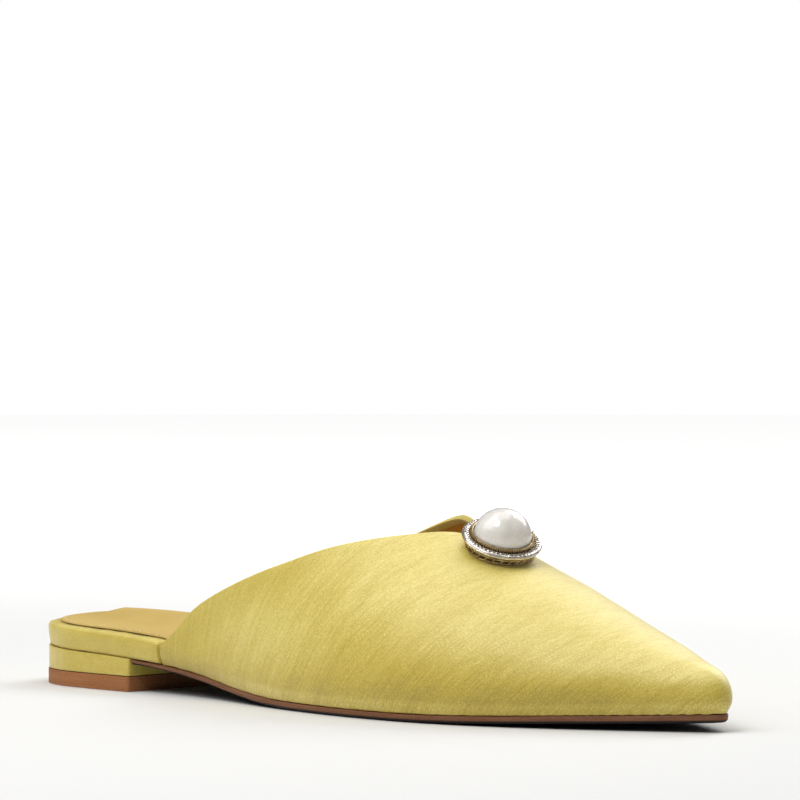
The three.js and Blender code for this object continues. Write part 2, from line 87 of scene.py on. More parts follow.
def apply(piece, kind, **settings):
    only(piece)
    modifier = piece.modifiers.new(kind.title(), kind)
    for key, value in settings.items():
        setattr(modifier, key, value)
    bpy.ops.object.modifier_apply(modifier=modifier.name)


def smooth(piece, degrees=40):
    only(piece)
    bpy.ops.object.shade_smooth_by_angle(angle=math.radians(degrees))


def copy_node(node, name):
    """Closed quad mesh of a CAD node's shape, as a new piece."""
    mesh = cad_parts[node].data.copy()
    mesh.materials.clear()
    mesh.name = name
    piece = new_piece(name, mesh)
    only(piece)
    bpy.ops.object.mode_set(mode="EDIT")
    bpy.ops.mesh.select_all(action="SELECT")
    bpy.ops.mesh.customdata_custom_splitnormals_clear()
    bpy.ops.mesh.remove_doubles(threshold=2e-6)
    bpy.ops.mesh.tris_convert_to_quads(
        face_threshold=math.radians(50), shape_threshold=math.radians(70)
    )
    bpy.ops.mesh.normals_make_consistent(inside=False)
    bpy.ops.object.mode_set(mode="OBJECT")
    return piece


def crease(piece, degrees, value):
    """Edges sharper than this keep their shape when the piece is subdivided."""
    bm = bmesh.new()
    bm.from_mesh(piece.data)
    layer = bm.edges.layers.float.get("crease_edge")
    layer = layer or bm.edges.layers.float.new("crease_edge")
    for edge in bm.edges:
        if len(edge.link_faces) == 2 and edge.calc_face_angle() > math.radians(degrees):
            edge[layer] = value
    bm.to_mesh(piece.data)
    bm.free()


def points_of(piece):
    co = np.empty(len(piece.data.vertices) * 3)
    piece.data.vertices.foreach_get("co", co)
    return co.reshape(-1, 3)


def normals_of(piece):
    normal = np.empty(len(piece.data.vertices) * 3)
    piece.data.vertex_normals.foreach_get("vector", normal)
    return normal.reshape(-1, 3)


def move_points(piece, co):
    piece.data.vertices.foreach_set("co", np.asarray(co, np.float32).ravel())
    piece.data.update()


def keep_vector(piece, name, values):
    attribute = piece.data.attributes.new(name, "FLOAT_VECTOR", "POINT")
    attribute.data.foreach_set("vector", np.asarray(values, np.float32).ravel())


def keep_value(piece, name, values):
    attribute = piece.data.attributes.new(name, "FLOAT", "POINT")
    attribute.data.foreach_set("value", np.asarray(values, np.float32))


def bump(distance, width):
    return np.exp(-((distance / width) ** 2))


def smoothstep(value, low, high):
    t = np.clip((value - low) / (high - low), 0, 1)
    return t * t * (3 - 2 * t)


def repeated(name, proto, matrices):
    """One mesh of many copies of a small prototype object, which is then removed."""
    local = points_of(proto)
    faces = [tuple(face.vertices) for face in proto.data.polygons]
    points = []
    polygons = []
    for number, matrix in enumerate(matrices):
        m = np.array(matrix)
        points.append(local @ m[:3, :3].T + m[:3, 3])
        start = number * len(local)
        polygons += [tuple(start + corner for corner in face) for face in faces]
    mesh = bpy.data.meshes.new(name)
    mesh.from_pydata(np.concatenate(points).tolist(), [], polygons)
    mesh.update()
    bpy.data.objects.remove(proto)
    return new_piece(name, mesh)


def baked(name):
    """The active primitive, renamed, with its place moved into its mesh."""
    piece = bpy.context.view_layer.objects.active
    piece.name = piece.data.name = name
    piece.data.transform(piece.matrix_world)
    piece.matrix_world = Matrix.Identity(4)
    return piece


def finish_piece(piece, slot, *nodes):
    if nodes:
        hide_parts(*nodes)
    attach(piece, "root")


# Shader building


def add(tree, kind, inputs=None, **settings):
    made = tree.nodes.new(kind)
    for key, value in settings.items():
        setattr(made, key, value)
    for key, value in (inputs or {}).items():
        if isinstance(value, bpy.types.NodeSocket):
            tree.links.new(value, made.inputs[key])
        else:
            made.inputs[key].default_value = value
    return made


def maths(tree, operation, *values, clamp=False):
    made = add(tree, "ShaderNodeMath", operation=operation, use_clamp=clamp)
    for i, value in enumerate(values):
        if isinstance(value, bpy.types.NodeSocket):
            tree.links.new(value, made.inputs[i])
        else:
            made.inputs[i].default_value = value
    return made.outputs[0]


def noise(tree, vector, scale, detail=2.0, rough=0.5):
    """Noise over a vector, with this many waves per unit along each of its axes."""
    scaled = add(tree, "ShaderNodeVectorMath", {0: vector, 1: scale}, operation="MULTIPLY")
    made = add(
        tree,
        "ShaderNodeTexNoise",
        {"Vector": scaled.outputs[0], "Scale": 1.0, "Detail": detail, "Roughness": rough},
    )
    return made.outputs["Fac"]


def between(tree, value, low, high, to_low=0.0, to_high=1.0):
    made = add(
        tree,
        "ShaderNodeMapRange",
        {"Value": value, 1: low, 2: high, 3: to_low, 4: to_high},
        interpolation_type="SMOOTHSTEP",
    )
    return made.outputs[0]


def blend(tree, factor, a, b, mode="MIX"):
    made = add(tree, "ShaderNodeMix", data_type="RGBA", blend_type=mode)
    for socket, value in ((0, factor), (6, a), (7, b)):
        if isinstance(value, bpy.types.NodeSocket):
            tree.links.new(value, made.inputs[socket])
        else:
            made.inputs[socket].default_value = value
    return made.outputs[2]


SOCKETS = {1: "NodeSocketFloat", 3: "NodeSocketVector", 4: "NodeSocketColor"}


def surface_group(name, **inputs):
    """Node group with these named inputs and usual values, and the sockets that they give."""
    tree = bpy.data.node_groups.new(name, "ShaderNodeTree")
    for label, value in inputs.items():
        kind = SOCKETS[np.size(value)]
        made = tree.interface.new_socket(label, in_out="INPUT", socket_type=kind)
        made.default_value = value
    for label, size in (("Colour", 4), ("Roughness", 1), ("Height", 1)):
        tree.interface.new_socket(label, in_out="OUTPUT", socket_type=SOCKETS[size])
    return tree, tree.nodes.new("NodeGroupInput").outputs


def put_out(tree, colour, roughness, height):
    out = tree.nodes.new("NodeGroupOutput")
    for socket, value in (("Colour", colour), ("Roughness", roughness), ("Height", height)):
        tree.links.new(value, out.inputs[socket])
    return tree


def material(name, **values):
    made = bpy.data.materials.new(name)
    made.use_nodes = True
    shader = made.node_tree.nodes["Principled BSDF"]
    for key, value in values.items():
        shader.inputs[key.replace("_", " ")].default_value = value
    return made, made.node_tree, shader


def bumped(tree, shader, height, strength, distance):
    made = add(
        tree,
        "ShaderNodeBump",
        {"Height": height, "Strength": strength, "Distance": distance},
    )
    tree.links.new(made.outputs[0], shader.inputs["Normal"])


def clothe(tree, shader, surface, strength, depth, **values):
    """Feed a shader from a surface group with these values for its named inputs."""
    used = add(tree, "ShaderNodeGroup", values, node_tree=surface)
    tree.links.new(used.outputs["Colour"], shader.inputs["Base Color"])
    tree.links.new(used.outputs["Roughness"], shader.inputs["Roughness"])
    bumped(tree, shader, used.outputs["Height"], strength, depth)


def object_place(tree):
    return add(tree, "ShaderNodeTexCoord").outputs["Object"]


# Satin colours, darkest to palest: the tone between them holds the weave's own variation and painted
# light and shade.
SATIN_DEEP = (0.4, 0.285, 0.01, 1)
SATIN_MIDDLE = (0.6, 0.45, 0.03, 1)
SATIN_LIGHT = (0.8, 0.665, 0.17, 1)


def slub_satin():
    """Satin with uneven weft threads. The attribute grain holds millimetres along the weft,
    across it, and to the side, and the attribute facing holds painted light and shade: higher where the
    satin is painted paler, lower where shade is painted."""
    tree, given = surface_group("slub_satin", Streaks=0.75, Slubs=-0.2)
    grain = add(tree, "ShaderNodeAttribute", attribute_name="grain").outputs["Vector"]
    thread = noise(tree, grain, (0.09, 2.2, 0.3), 3.0, 0.6)
    slub = noise(tree, grain, (0.04, 1.9, 0.14), 2.0, 0.5)
    band = noise(tree, grain, (0.016, 0.22, 0.05), 2.0, 0.5)
    patch = noise(tree, grain, (0.02, 0.05, 0.02), 2.0)
    weave = noise(tree, grain, (1.15, 2.9, 2.2), 3.0, 0.75)
    painted_light = add(tree, "ShaderNodeAttribute", attribute_name="painted_light").outputs["Fac"]
    dark = between(tree, slub, 0.57, 0.7)
    pale = between(tree, slub, 0.42, 0.24)
    tone = 0.5
    for value, amount in ((thread, given["Streaks"]), (band, 0.4), (patch, 0.3), (weave, 2.2)):
        tone = maths(tree, "MULTIPLY_ADD", maths(tree, "SUBTRACT", value, 0.5), amount, tone)
    # Painted light and shade from the upper's attribute make the tone paler or darker.
    tone = maths(tree, "MULTIPLY_ADD", painted_light, 0.55, tone)
    tone = maths(tree, "MULTIPLY_ADD", dark, given["Slubs"], tone)
    tone = maths(tree, "MULTIPLY_ADD", pale, 0.12, tone, clamp=True)
    lower = blend(tree, between(tree, tone, 0.0, 0.5), SATIN_DEEP, SATIN_MIDDLE)
    colour = blend(tree, between(tree, tone, 0.5, 1.0), lower, SATIN_LIGHT)
    rough = between(tree, tone, 0.0, 1.0, 0.55, 0.47)
    height = maths(tree, "MULTIPLY", thread, 0.3)
    height = maths(tree, "MULTIPLY_ADD", slub, 0.3, height)
    height = maths(tree, "MULTIPLY_ADD", weave, 0.8, height)
    return put_out(tree, colour, rough, height)


def satin_material(name, streaks, slubs):
    made, tree, shader = material(
        name, Sheen_Weight=0.6, Sheen_Roughness=0.45, Specular_IOR_Level=0.6, IOR=1.85
    )
    shader.inputs["Sheen Tint"].default_value = (1.0, 0.97, 0.72, 1)
    shader.inputs["Specular Tint"].default_value = (1.0, 0.97, 0.82, 1)
    clothe(tree, shader, satin_weave, 0.32, 0.00022, Streaks=streaks, Slubs=slubs)
    return made


def fine_leather():
    tree, given = surface_group("fine_leather", Tint=(1.0, 1.0, 1.0, 1.0))
    where = object_place(tree)
    pore = noise(tree, where, (2400, 2400, 2400), 2.0, 0.6)
    cloud = noise(tree, where, (38, 52, 40), 3.0, 0.55)
    wrinkle = noise(tree, where, (700, 260, 500), 3.0, 0.6)
    tone = maths(tree, "MULTIPLY_ADD", pore, 0.35, maths(tree, "MULTIPLY", cloud, 0.75))
    tan = blend(tree, between(tree, tone, 0.35, 0.8), (0.5, 0.345, 0.1, 1), (0.6, 0.435, 0.15, 1))
    colour = blend(tree, 1.0, tan, given["Tint"], "MULTIPLY")
    rough = between(tree, cloud, 0.3, 0.7, 0.5, 0.62)
    height = maths(tree, "MULTIPLY_ADD", wrinkle, 0.7, pore)
    return put_out(tree, colour, rough, height)


def tan_leather():
    made, tree, shader = material("tan_leather", Specular_IOR_Level=0.15)
    clothe(tree, shader, leather_grain, 0.18, 0.00012)
    return made


def satin_and_lining():
    """Satin with a tan lining inside: the attribute lined holds millimetres from the topline."""
    made = satin_material("satin_with_lining", 0.75, -0.2)
    tree = made.node_tree
    outside = tree.nodes["Principled BSDF"]
    lining = add(tree, "ShaderNodeBsdfPrincipled", {"Specular IOR Level": 0.3})
    clothe(tree, lining, leather_grain, 0.2, 0.00012, Tint=(1.0, 0.74, 0.4, 1))
    away = add(tree, "ShaderNodeAttribute", attribute_name="lined").outputs["Fac"]
    share = between(tree, away, 2.15, 2.3)
    mixed = add(tree, "ShaderNodeMixShader", {0: share, 1: outside.outputs[0], 2: lining.outputs[0]})
    tree.links.new(mixed.outputs[0], tree.nodes["Material Output"].inputs["Surface"])
    return made


def ground_rubber():
    """Brown rubber with specks and upright scuffs, and painted near-black shade where the attribute under
    is 1.
    """
    tree, given = surface_group(
        "ground_rubber",
        Specks=1500.0,
        Scuffs=(60.0, 60.0, 900.0),
        Share=0.5,
        Dark=(0.17, 0.068, 0.03, 1.0),
        Light=(0.29, 0.13, 0.064, 1.0),
        Roughest=0.75,
    )
    where = object_place(tree)
    speck = noise(tree, where, given["Specks"], 3.0, 0.65)
    scuff = noise(tree, where, given["Scuffs"], 3.0, 0.6)
    rest = maths(tree, "SUBTRACT", 1.0, given["Share"])
    tone = maths(tree, "MULTIPLY_ADD", speck, given["Share"], maths(tree, "MULTIPLY", scuff, rest))
    brown = blend(tree, between(tree, tone, 0.3, 0.7), given["Dark"], given["Light"])
    # Painted shade: near-black where the attribute under is 1.
    under = add(tree, "ShaderNodeAttribute", attribute_name="under").outputs["Fac"]
    colour = blend(tree, under, brown, (0.012, 0.008, 0.006, 1))
    rough = between(tree, speck, 0.3, 0.7, 0.55, given["Roughest"])
    return put_out(tree, colour, rough, tone)


def sole_material():
    made, tree, shader = material("brown_sole", Specular_IOR_Level=0.3)
    clothe(tree, shader, rubber_grain, 0.3, 0.00015)
    return made


def lift_material():
    made, tree, shader = material("brown_lift", Specular_IOR_Level=0.3)
    clothe(
        tree,
        shader,
        rubber_grain,
        0.35,
        0.00015,
        Specks=1300.0,
        Scuffs=(40.0, 40.0, 1400.0),
        Share=0.55,
        Dark=(0.3, 0.112, 0.036, 1),
        Light=(0.44, 0.19, 0.072, 1),
        Roughest=0.72,
    )
    return made


def metal_wear_and_shade():
    """Cast metal that is duller in patches, and painted dark as shade where the attribute recess is 1."""
    white = (1.0, 1.0, 1.0, 1.0)
    tree, given = surface_group("metal_wear_and_shade", Dull=white, Bright=white, Polished=0.2, Worn=0.4)
    where = object_place(tree)
    wear = noise(tree, where, (420, 420, 420), 4.0, 0.65)
    fine = noise(tree, where, (2600, 2600, 2600), 2.0, 0.5)
    colour = blend(tree, between(tree, wear, 0.3, 0.7), given["Dull"], given["Bright"])
    # Painted shade: near-black where the attribute recess is 1.
    painted_recess_shade = add(tree, "ShaderNodeAttribute", attribute_name="painted_recess_shade").outputs["Fac"]
    colour = blend(tree, painted_recess_shade, colour, (0.012, 0.008, 0.004, 1))
    rough = between(tree, wear, 0.3, 0.7, given["Worn"], given["Polished"])
    return put_out(tree, colour, rough, fine)


def metal_material(name, dull, bright, polished, worn):
    made, tree, shader = material(name, Metallic=1.0)
    values = {"Dull": dull, "Bright": bright, "Polished": polished, "Worn": worn}
    clothe(tree, shader, cast_metal, 0.08, 0.00006, **values)
    return made


def clear_stone():
    made, tree, shader = material(
        "clear_stone", Roughness=0.03, IOR=2.0, Coat_Weight=0.6, Coat_Roughness=0.02
    )
    spark = noise(tree, object_place(tree), (900, 900, 900), 1.0)
    lit = between(tree, spark, 0.35, 0.65)
    colour = blend(tree, lit, (0.22, 0.195, 0.18, 1), (0.82, 0.79, 0.76, 1))
    tree.links.new(colour, shader.inputs["Base Color"])
    tree.links.new(between(tree, spark, 0.4, 0.6, 0.5, 1.0), shader.inputs["Metallic"])
    return made


def nacre_material():
    made, tree, shader = material(
        "nacre", Coat_Weight=0.7, Coat_Roughness=0.13, Coat_IOR=1.7, Sheen_Weight=0.2
    )
    where = object_place(tree)
    band = noise(tree, where, (90, 140, 110), 3.0, 0.55)
    fine = noise(tree, where, (900, 900, 900), 2.0, 0.6)
    lit = between(tree, band, 0.3, 0.7)
    colour = blend(tree, lit, (0.73, 0.69, 0.63, 1), (0.84, 0.815, 0.77, 1))
    tree.links.new(colour, shader.inputs["Base Color"])
    tree.links.new(between(tree, fine, 0.3, 0.7, 0.2, 0.3), shader.inputs["Roughness"])
    shader.inputs["Subsurface Weight"].default_value = 0.15
    shader.inputs["Subsurface Scale"].default_value = 0.002
    bumped(tree, shader, band, 0.05, 0.0002)
    return made


def stitch_thread():
    made, tree, shader = material("stitch_thread", Specular_IOR_Level=0.3, Sheen_Weight=0.3)
    twist = noise(tree, object_place(tree), (2600, 2600, 2600), 2.0)
    lit = between(tree, twist, 0.3, 0.7)
    tree.links.new(blend(tree, lit, (0.5, 0.4, 0.1, 1), (0.8, 0.7, 0.32, 1)), shader.inputs["Base Color"])
    tree.links.new(between(tree, twist, 0.3, 0.7, 0.5, 0.7), shader.inputs["Roughness"])
    return made


satin_weave = slub_satin()
leather_grain = fine_leather()
rubber_grain = ground_rubber()
cast_metal = metal_wear_and_shade()
satin = satin_material("chartreuse_satin", 0.25, 0.0)
leather = tan_leather()
sole = sole_material()
lift = lift_material()
gilt = metal_material("old_gold", (0.27, 0.18, 0.08, 1), (0.6, 0.47, 0.28, 1), 0.2, 0.38)
silver = metal_material("bright_silver", (0.33, 0.29, 0.25, 1), (0.72, 0.67, 0.61, 1), 0.14, 0.28)
pale_gold = metal_material("pale_gold", (0.72, 0.62, 0.47, 1), (0.95, 0.88, 0.74, 1), 0.09, 0.17)
stone = clear_stone()
nacre = nacre_material()
thread_yellow = stitch_thread()

# Place of the brooch

TILT_FORWARD = math.radians(24.9)
TILT_OUT = math.radians(9.9)
turn = Matrix.Rotation(TILT_FORWARD, 4, "Y") @ Matrix.Rotation(TILT_OUT, 4, "X")
axis = np.array(turn.to_3x3() @ Vector((0, 0, 1)))
PEARL_CENTRE = 4.5  # millimetres above the brooch's origin
PEARL_CUT = 2.3  # how far below its centre the pearl is cut flat
pearl_co = points_of(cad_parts["brooch_pearl"])
pearl_height = pearl_co @ axis
back = pearl_co[pearl_height < pearl_height.min() + 1e-5]
rim = back[np.linalg.norm(back - back.mean(0), axis=1) > 6 * MM]
origin = (rim.max(0) + rim.min(0)) / 2 - axis * (PEARL_CENTRE - PEARL_CUT) * MM
brooch = Matrix.Translation(Vector(origin)) @ turn

# Upper

# Slope of the weft threads as seen from the side, along the shoe
WEFT_X = [60, 72, 85, 100, 125, 160, 200, 240, 275]
WEFT_SLOPE = [3.2, 2.5, 1.6, 1.12, 0.9, 0.76, 0.66, 0.56, 0.5]


def weft(co):
    """Millimetres along the weft, across it and to the side, for each point."""
    x = from_heel(co[:, 0])
    y = co[:, 1] / MM
    z = co[:, 2] / MM
    steps = np.arange(-10, 290, 1.0)
    slopes = np.interp(steps, WEFT_X, WEFT_SLOPE)
    rise = np.interp(x, steps, np.cumsum(slopes))
    slope = np.interp(x, WEFT_X, WEFT_SLOPE)
    length = np.sqrt(1 + slope**2)
    across = (z - rise) / length
    along = (x + slope * z) / length - np.abs(y - 4)
    return np.stack([along, across, y], 1)


upper = copy_node("upper", "satin_upper")
crease(upper, 50, 0.55)
sharp = KDTree(60000)  # room for the points along the topline
bm = bmesh.new()
bm.from_mesh(upper.data)
for edge in bm.edges:
    if edge.calc_face_angle(0) > math.radians(50):
        one, two = (corner.co for corner in edge.verts)
        behind = from_heel(min(one.x, two.x))
        if behind < WING_X + 3 or (one.z > 0.0165 and behind < THROAT_X + 3):
            for step in range(12):
                sharp.insert(one.lerp(two, step / 12), 0)
bm.free()
sharp.balance()
apply(upper, "SUBSURF", levels=2, render_levels=2)

co = points_of(upper)
normal = normals_of(upper)
core = np.stack(
    [np.minimum(co[:, 0], 0.112), np.full(len(co), 0.0035), np.full(len(co), 0.014)], 1
)
outward = np.einsum("ij,ij->i", co - core, normal) > 0
edge_away = np.array([sharp.find(point)[2] for point in co]) / MM
x = from_heel(co[:, 0])
y = co[:, 1] / MM
z = co[:, 2] / MM

# Soft forms, in millimetres: where along the shoe, height, half lengths, and depth
SOFT_FORMS = [
    (92, 21, 16, 5, -0.3),
    (118, 13, 20, 4, 0.22),
    (150, 12, 24, 4, -0.25),
    (182, 16, 20, 5, 0.2),
    (208, 14, 16, 4, -0.22),
    (232, 13, 12, 4, 0.18),
    (250, 15, 8, 4, -0.15),
    (128, 38, 26, 5, -0.22),
    (160, 30, 22, 6, 0.2),
    (205, 30, 14, 5, -0.18),
]
lift_by = np.zeros(len(co))
for at, height, half_x, half_z, depth in SOFT_FORMS:
    slant = (z - height) - 0.5 * (x - at)
    lift_by += depth * bump(x - at, half_x) * bump(slant, half_z)
feather_line = np.interp(x, [60, 90, 130, 200, 270], [9.3, 6.5, 3.0, 2.9, 5.2])
low = z - feather_line
gathers = np.sin(x * 1.9 + 0.8 * np.sin(x * 0.37)) * smoothstep(x, 205, 250)
gathers = gathers + 0.5 * np.sin(x * 0.83) * (1 - smoothstep(x, 190, 230))
lift_by += 0.14 * gathers * bump(low - 1.5, 2.6)
lift_by += 0.05 * bump(edge_away - 2.6, 1.3)
inward = smoothstep(edge_away, 2.2, 3.0)
lift_by = np.where(outward, lift_by, -0.35 * inward)
co = co + normal * (lift_by * MM)[:, None]
co[:, 2] -= SEAM_LAP * MM * (1 - smoothstep(low, 0.1, 1.0))
move_points(upper, co)
keep_vector(upper, "grain", weft(co))
# Painted light and shade: the satin is painted paler where it faces up and darker where it faces down.
painted_light = np.clip(normals_of(upper)[:, 2], -0.4, 0.9) - 0.35
# Painted sheen on the near side and the toe, a painted floor reflection on the strip that turns under,
# and a painted shade band above it.
painted_broad_sheen = bump(x - 122, 42) * bump(z - 21, 14) * (y < 0)
painted_floor_reflection = (1 - smoothstep(low, 2.0, 4.2)) * smoothstep(x, 85, 120)
painted_shade_band = bump(low - 6.5, 3.0) * smoothstep(x, 110, 150)
painted_toe_sheen = bump(x - 262, 14) * bump(z - 13, 8)
painted_light += 0.8 * painted_broad_sheen + 0.75 * painted_floor_reflection - 0.2 * painted_shade_band + 0.45 * painted_toe_sheen
# Painted shadow of the brooch on the satin round its foot.
from_brooch = co - origin
aside = np.linalg.norm(from_brooch - np.outer(from_brooch @ axis, axis), axis=1) / MM
brooch_shade = (1 - smoothstep(aside, 9.6, 12.5)) * outward
painted_light -= 0.8 * brooch_shade
keep_value(upper, "painted_light", painted_light)
keep_value(upper, "lined", np.where(outward, 0, edge_away))
upper.data.materials.append(satin_and_lining())
smooth(upper, 60)
finish_piece(upper, "satin", "upper")

# Insole board, wrapped in satin

board = copy_node("insole_board", "wrapped_rim")
crease(board, 50, 0.6)
apply(board, "SUBSURF", levels=2, render_levels=2)
co = points_of(board)
normal = normals_of(board)
x = from_heel(co[:, 0])
sideways = round_the_heel(co)
wraps = 0.07 * np.sin(sideways * 0.55 + 1.5 * np.sin(sideways * 0.21))
soft = smoothstep(co[:, 2] / MM, 12, 14) * (1 - smoothstep(x, 60, 70))
move_points(board, co + normal * (wraps * soft * MM)[:, None])
grain = np.stack([sideways * 6, co[:, 2] / MM + sideways * 0.3, co[:, 1] / MM], 1)
keep_vector(board, "grain", grain)
board.data.materials.append(satin)
smooth(board, 50)
finish_piece(board, "satin", "insole_board")

# Sock lining with its row of stitches

sock = copy_node("sock_lining", "tan_sock")
crease(sock, 50, 0.5)
apply(sock, "SUBSURF", levels=2, render_levels=2)
co = points_of(sock)
x = from_heel(co[:, 0])
SOCK_CROWN, SOCK_SETTLES = 1.4, 0.24
crown = bump(x - 46, 32) * bump(co[:, 1] / MM - 9, 15)
top = normals_of(sock)[:, 2] > 0.3
co[:, 2] += (SOCK_CROWN * crown * top - SOCK_SETTLES) * MM
move_points(sock, co)
sock.data.materials.append(leather)
smooth(sock, 60)
finish_piece(sock, "sock_leather", "sock_lining")

co = points_of(sock)
sock_surface = BVHTree.FromObject(sock, bpy.context.evaluated_depsgraph_get())


SEAM_REACH = 150  # how far the stitches run from the heel's back, under the upper
TURN_X, TURN_Y = 30, 0.4  # middle of the sock's round end, in millimetres


def sock_edge():
    """Points of the sock's outline from the outer side round the heel to the inner side."""
    edge = []
    for side in (-1, 1):
        row = []
        for at in np.linspace(SEAM_REACH, TURN_X, 140):
            near = np.abs(from_heel(co[:, 0]) - at) < 2.2
            row.append((at, side * np.max(side * co[near, 1]) / MM))
        edge.append(row)
    turn = []
    for angle in np.linspace(-88, -272, 70):
        direction = np.array([math.cos(math.radians(angle)), math.sin(math.radians(angle))])
        local = np.stack([from_heel(co[:, 0]) - TURN_X, co[:, 1] / MM - TURN_Y], 1)
        forward = local @ direction
        aside = np.abs(local @ np.array([-direction[1], direction[0]]))
        reach_here = np.max(np.where(aside < 2.0, forward, 0))
        turn.append((TURN_X + direction[0] * reach_here, TURN_Y + direction[1] * reach_here))
    return np.array(edge[0] + turn + edge[1][::-1])


def evened(path, step):
    """Points at even steps along a path."""
    length = np.concatenate([[0], np.cumsum(np.linalg.norm(np.diff(path, axis=0), axis=1))])
    at = np.arange(0, length[-1], step)
    return np.stack([np.interp(at, length, path[:, i]) for i in range(path.shape[1])], 1)


STITCH_STEP, STITCH_INSET = 2.0, 1.0
STITCH_WIDTH, STITCH_HEIGHT = 0.2, 0.12  # halves of its section
outline = evened(sock_edge(), STITCH_STEP)
kernel = np.ones(5) / 5
outline = np.stack([np.convolve(outline[:, i], kernel, mode="valid") for i in range(2)], 1)
tangent = np.gradient(outline, axis=0)
tangent /= np.linalg.norm(tangent, axis=1)[:, None]
inside = outline + STITCH_INSET * np.stack([tangent[:, 1], -tangent[:, 0]], 1)
if abs(inside[len(inside) // 2][0]) < abs(outline[len(outline) // 2][0]):
    inside = 2 * outline - inside
seam = evened(inside, STITCH_STEP)
bpy.ops.mesh.primitive_uv_sphere_add(segments=8, ring_count=6, radius=1.0)
proto = baked("stitch")
stitches = []
for a, b in zip(seam[:-1], seam[1:]):
    places = []
    for p, q in ((a, b), (b, a)):
        point = p + (q - p) * 0.12
        start = Vector(((point[0] + HEEL_X) * MM, point[1] * MM, 0.04))
        places.append(sock_surface.ray_cast(start, Vector((0, 0, -1)))[0])
    if None in places:
        continue
    one, two = places
    middle = (one + two) / 2 + Vector((0, 0, 0.00002))
    direction = two - one
    turned = direction.to_track_quat("X", "Z").to_matrix().to_4x4()
    scale = Matrix.Diagonal((direction.length / 2, STITCH_WIDTH * MM, STITCH_HEIGHT * MM, 1))
    stitches.append(Matrix.Translation(middle) @ turned @ scale)
row = repeated("sock_stitches", proto, stitches)
row.data.materials.append(thread_yellow)
smooth(row, 80)
finish_piece(row, "sock_leather")

# Sole, heel and lift

outsole = copy_node("outsole", "brown_outsole")
crease(outsole, 30, 0.9)
apply(outsole, "SUBSURF", levels=2, render_levels=2)
co = points_of(outsole)
x = from_heel(co[:, 0])
stations = np.arange(x.min(), x.max(), 3.0)
underside = [co[np.abs(x - at) < 5, 2].min() / MM for at in stations]
above = co[:, 2] / MM - np.interp(x, stations, underside)
# Painted shade on the lowest millimetre of the sole, where it meets the floor.
keep_value(outsole, "under", 1 - smoothstep(above, 0.75, 1.15))
outsole.data.materials.append(sole)
smooth(outsole, 35)
finish_piece(outsole, "sole_rubber", "outsole")

top_lift = copy_node("top_lift", "brown_top_lift")
apply(top_lift, "BEVEL", width=0.00035, segments=3, limit_method="ANGLE", angle_limit=0.9)
top_lift.data.materials.append(lift)
smooth(top_lift, 35)
finish_piece(top_lift, "sole_rubber", "top_lift")

heel = copy_node("heel_block", "covered_heel")
apply(heel, "BEVEL", width=0.0005, segments=3, limit_method="ANGLE", angle_limit=0.9)
apply(heel, "SUBSURF", levels=2, render_levels=2, subdivision_type="SIMPLE")
co = points_of(heel)
sideways = round_the_heel(co)
grain = np.stack([sideways * 6, co[:, 2] / MM - sideways * 0.3, co[:, 1] / MM], 1)
keep_vector(heel, "grain", grain)
co[:, 2] += SEAM_LAP * MM * smoothstep(co[:, 2] / MM, 8, 11)
move_points(heel, co)
heel.data.materials.append(satin)
smooth(heel, 35)
finish_piece(heel, "satin", "heel_block")

# Brooch, in millimetres on its own axis

PEARL_RADIUS = 8.6
RIBS, RIB_RADIUS, RIB_HEIGHT = 84, 9.3, 4.85
EDGE_RADIUS, EDGE_HEIGHT = 11.62, 3.7
HEAD_RADIUS, HEAD_HEIGHT = 11.0, 2.65
FOOT_RADIUS, FOOT_THICK = 9.9, 0.3
FOOT_STEPS, FOOT_SIDES = 72, 8
FOOT_HIGHEST = 0.6  # the foot rises no higher, even where the satin does
BARS, BAR_LEAN = 27, 0.08  # the lean is an angle to each side


def placed(angle, radius, height, lean=0.0, scale=(1, 1, 1)):
    """Place on the brooch, in millimetres, turned about its axis and leaning outwards."""
    return (
        brooch
        @ Matrix.Rotation(angle, 4, "Z")
        @ Matrix.Translation(Vector((radius, 0, height)) * MM)
        @ Matrix.Rotation(lean, 4, "Y")
        @ Matrix.Diagonal((*scale, 1))
    )


def ring(name, radius, height, thick):
    bpy.ops.mesh.primitive_torus_add(
        major_radius=radius * MM,
        minor_radius=thick * MM,
        major_segments=96,
        minor_segments=12,
    )
    piece = baked(name)
    piece.data.transform(brooch @ Matrix.Translation((0, 0, height * MM)))
    return piece


def joined(name, pieces):
    bpy.ops.object.select_all(action="DESELECT")
    for piece in pieces:
        piece.select_set(True)
    bpy.context.view_layer.objects.active = pieces[0]
    bpy.ops.object.join()
    pieces[0].name = pieces[0].data.name = name
    return pieces[0]


bpy.ops.mesh.primitive_uv_sphere_add(segments=72, ring_count=40, radius=PEARL_RADIUS * MM)
pearl = baked("large_pearl")
only(pearl)
bpy.ops.object.mode_set(mode="EDIT")
bpy.ops.mesh.select_all(action="SELECT")
bpy.ops.mesh.bisect(
    plane_co=(0, 0, -PEARL_CUT * MM), plane_no=(0, 0, -1), clear_outer=True, use_fill=True
)
bpy.ops.object.mode_set(mode="OBJECT")
pearl.data.transform(brooch @ Matrix.Translation((0, 0, PEARL_CENTRE * MM)))
pearl.data.materials.append(nacre)
smooth(pearl, 50)
finish_piece(pearl, "pearl", "brooch_pearl")

cup = copy_node("brooch_cup", "pearl_cup")
crease(cup, 40, 0.7)
apply(cup, "SUBSURF", levels=1, render_levels=1)
height = (points_of(cup) - origin) @ axis / MM
# Painted shade on the cup low down, behind the basket bars.
keep_value(cup, "painted_recess_shade", 1 - smoothstep(height, 3.2, 3.6))
cup.data.materials.append(gilt)
smooth(cup, 40)
finish_piece(cup, "gilt_metal", "brooch_cup")

